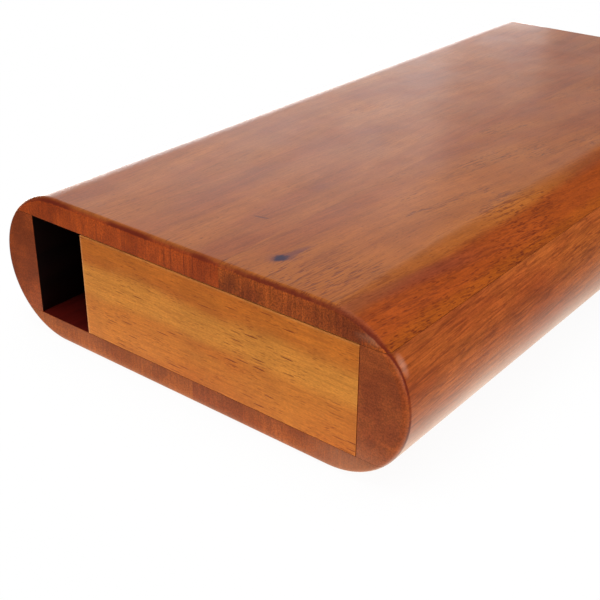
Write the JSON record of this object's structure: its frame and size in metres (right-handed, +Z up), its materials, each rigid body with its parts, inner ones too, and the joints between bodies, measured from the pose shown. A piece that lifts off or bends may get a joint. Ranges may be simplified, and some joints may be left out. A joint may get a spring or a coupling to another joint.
{
  "type": "travel didgeridoo",
  "caption": "Flat wooden travel didgeridoo: a folded air channel in a glued box with full-round sides, a rectangular sound outlet at one end and a turned mouthpiece at the other.",
  "frame": {"origin": "middle of the footprint, at the surface that the box lies on (bottom centre of the overall box, mouthpiece included)", "axes": "+Z up; Y along the box, with the bell end on -Y and the mouthpiece on +Y; X across, with the sound outlet on -X"},
  "size_m": [0.16, 0.312, 0.051],
  "materials": {
    "red_plank": "gloss",
    "brown_plank": "gloss",
    "rail": "gloss",
    "pale_block": "satin",
    "channel_wood": "satin",
    "turned_wood": "gloss"
  },
  "bodies": {
    "root": {"top_plank_left": "red_plank", "top_plank_right": "brown_plank", "bottom_plank_left": "brown_plank", "bottom_plank_right": "red_plank", "left_rail": "rail", "right_rail": "rail", "bell_end_block": "pale_block", "mouth_end_block": "pale_block", "channel_divider_1": "channel_wood", "channel_divider_2": "channel_wood", "channel_divider_3": "channel_wood", "channel_divider_4": "channel_wood", "mouthpiece": "turned_wood"}
  },
  "joints": []
}
